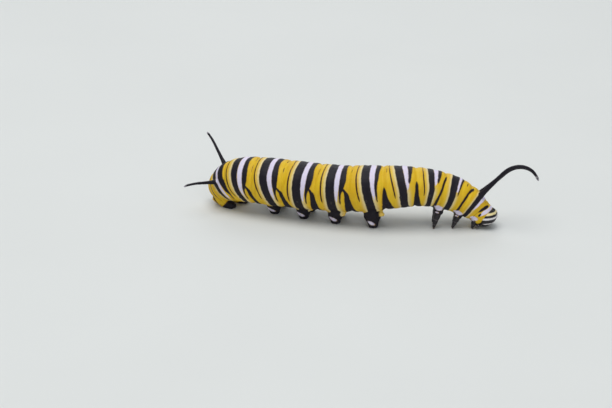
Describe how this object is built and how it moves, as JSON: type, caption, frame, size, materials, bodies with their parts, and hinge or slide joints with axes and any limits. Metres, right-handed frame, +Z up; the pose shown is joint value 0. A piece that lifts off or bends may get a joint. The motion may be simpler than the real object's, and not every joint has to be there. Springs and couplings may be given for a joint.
{
  "type": "butterfly larva",
  "caption": "Life-size larva of the monarch butterfly, banded in black, white and yellow, walking with its head bent down and its long front filaments arching forward.",
  "frame": {"origin": "middle of the bounding box, on the floor it stands on", "axes": "+X towards the head along the body's chord, +Y to the animal's left, +Z up"},
  "size_m": [0.0488, 0.0102, 0.0095],
  "materials": {
    "banded_skin": "soft satin skin with black, white and yellow cross bands",
    "black_skin": "soft satin black skin",
    "head_shell": "hard glossy black shell with pale arches"
  },
  "bodies": {
    "root": {"head": "head_shell", "antenna_left": "head_shell", "antenna_right": "head_shell", "prothorax": "banded_skin", "mesothorax": "banded_skin", "metathorax": "banded_skin", "abdomen_1": "banded_skin", "abdomen_2": "banded_skin", "abdomen_3": "banded_skin", "abdomen_4": "banded_skin", "abdomen_5": "banded_skin", "abdomen_6": "banded_skin", "abdomen_7": "banded_skin", "abdomen_8": "banded_skin", "abdomen_9": "banded_skin", "abdomen_10": "banded_skin", "leg_1_left": "head_shell", "leg_1_right": "head_shell", "leg_2_left": "head_shell", "leg_2_right": "head_shell", "leg_3_left": "head_shell", "leg_3_right": "head_shell", "proleg_3_left": "black_skin", "proleg_3_right": "black_skin", "proleg_4_left": "black_skin", "proleg_4_right": "black_skin", "proleg_5_left": "black_skin", "proleg_5_right": "black_skin", "proleg_6_left": "black_skin", "proleg_6_right": "black_skin", "proleg_anal_left": "black_skin", "proleg_anal_right": "black_skin", "filament_front_left": "black_skin", "filament_front_right": "black_skin", "filament_rear_left": "black_skin", "filament_rear_right": "black_skin"}
  },
  "joints": []
}
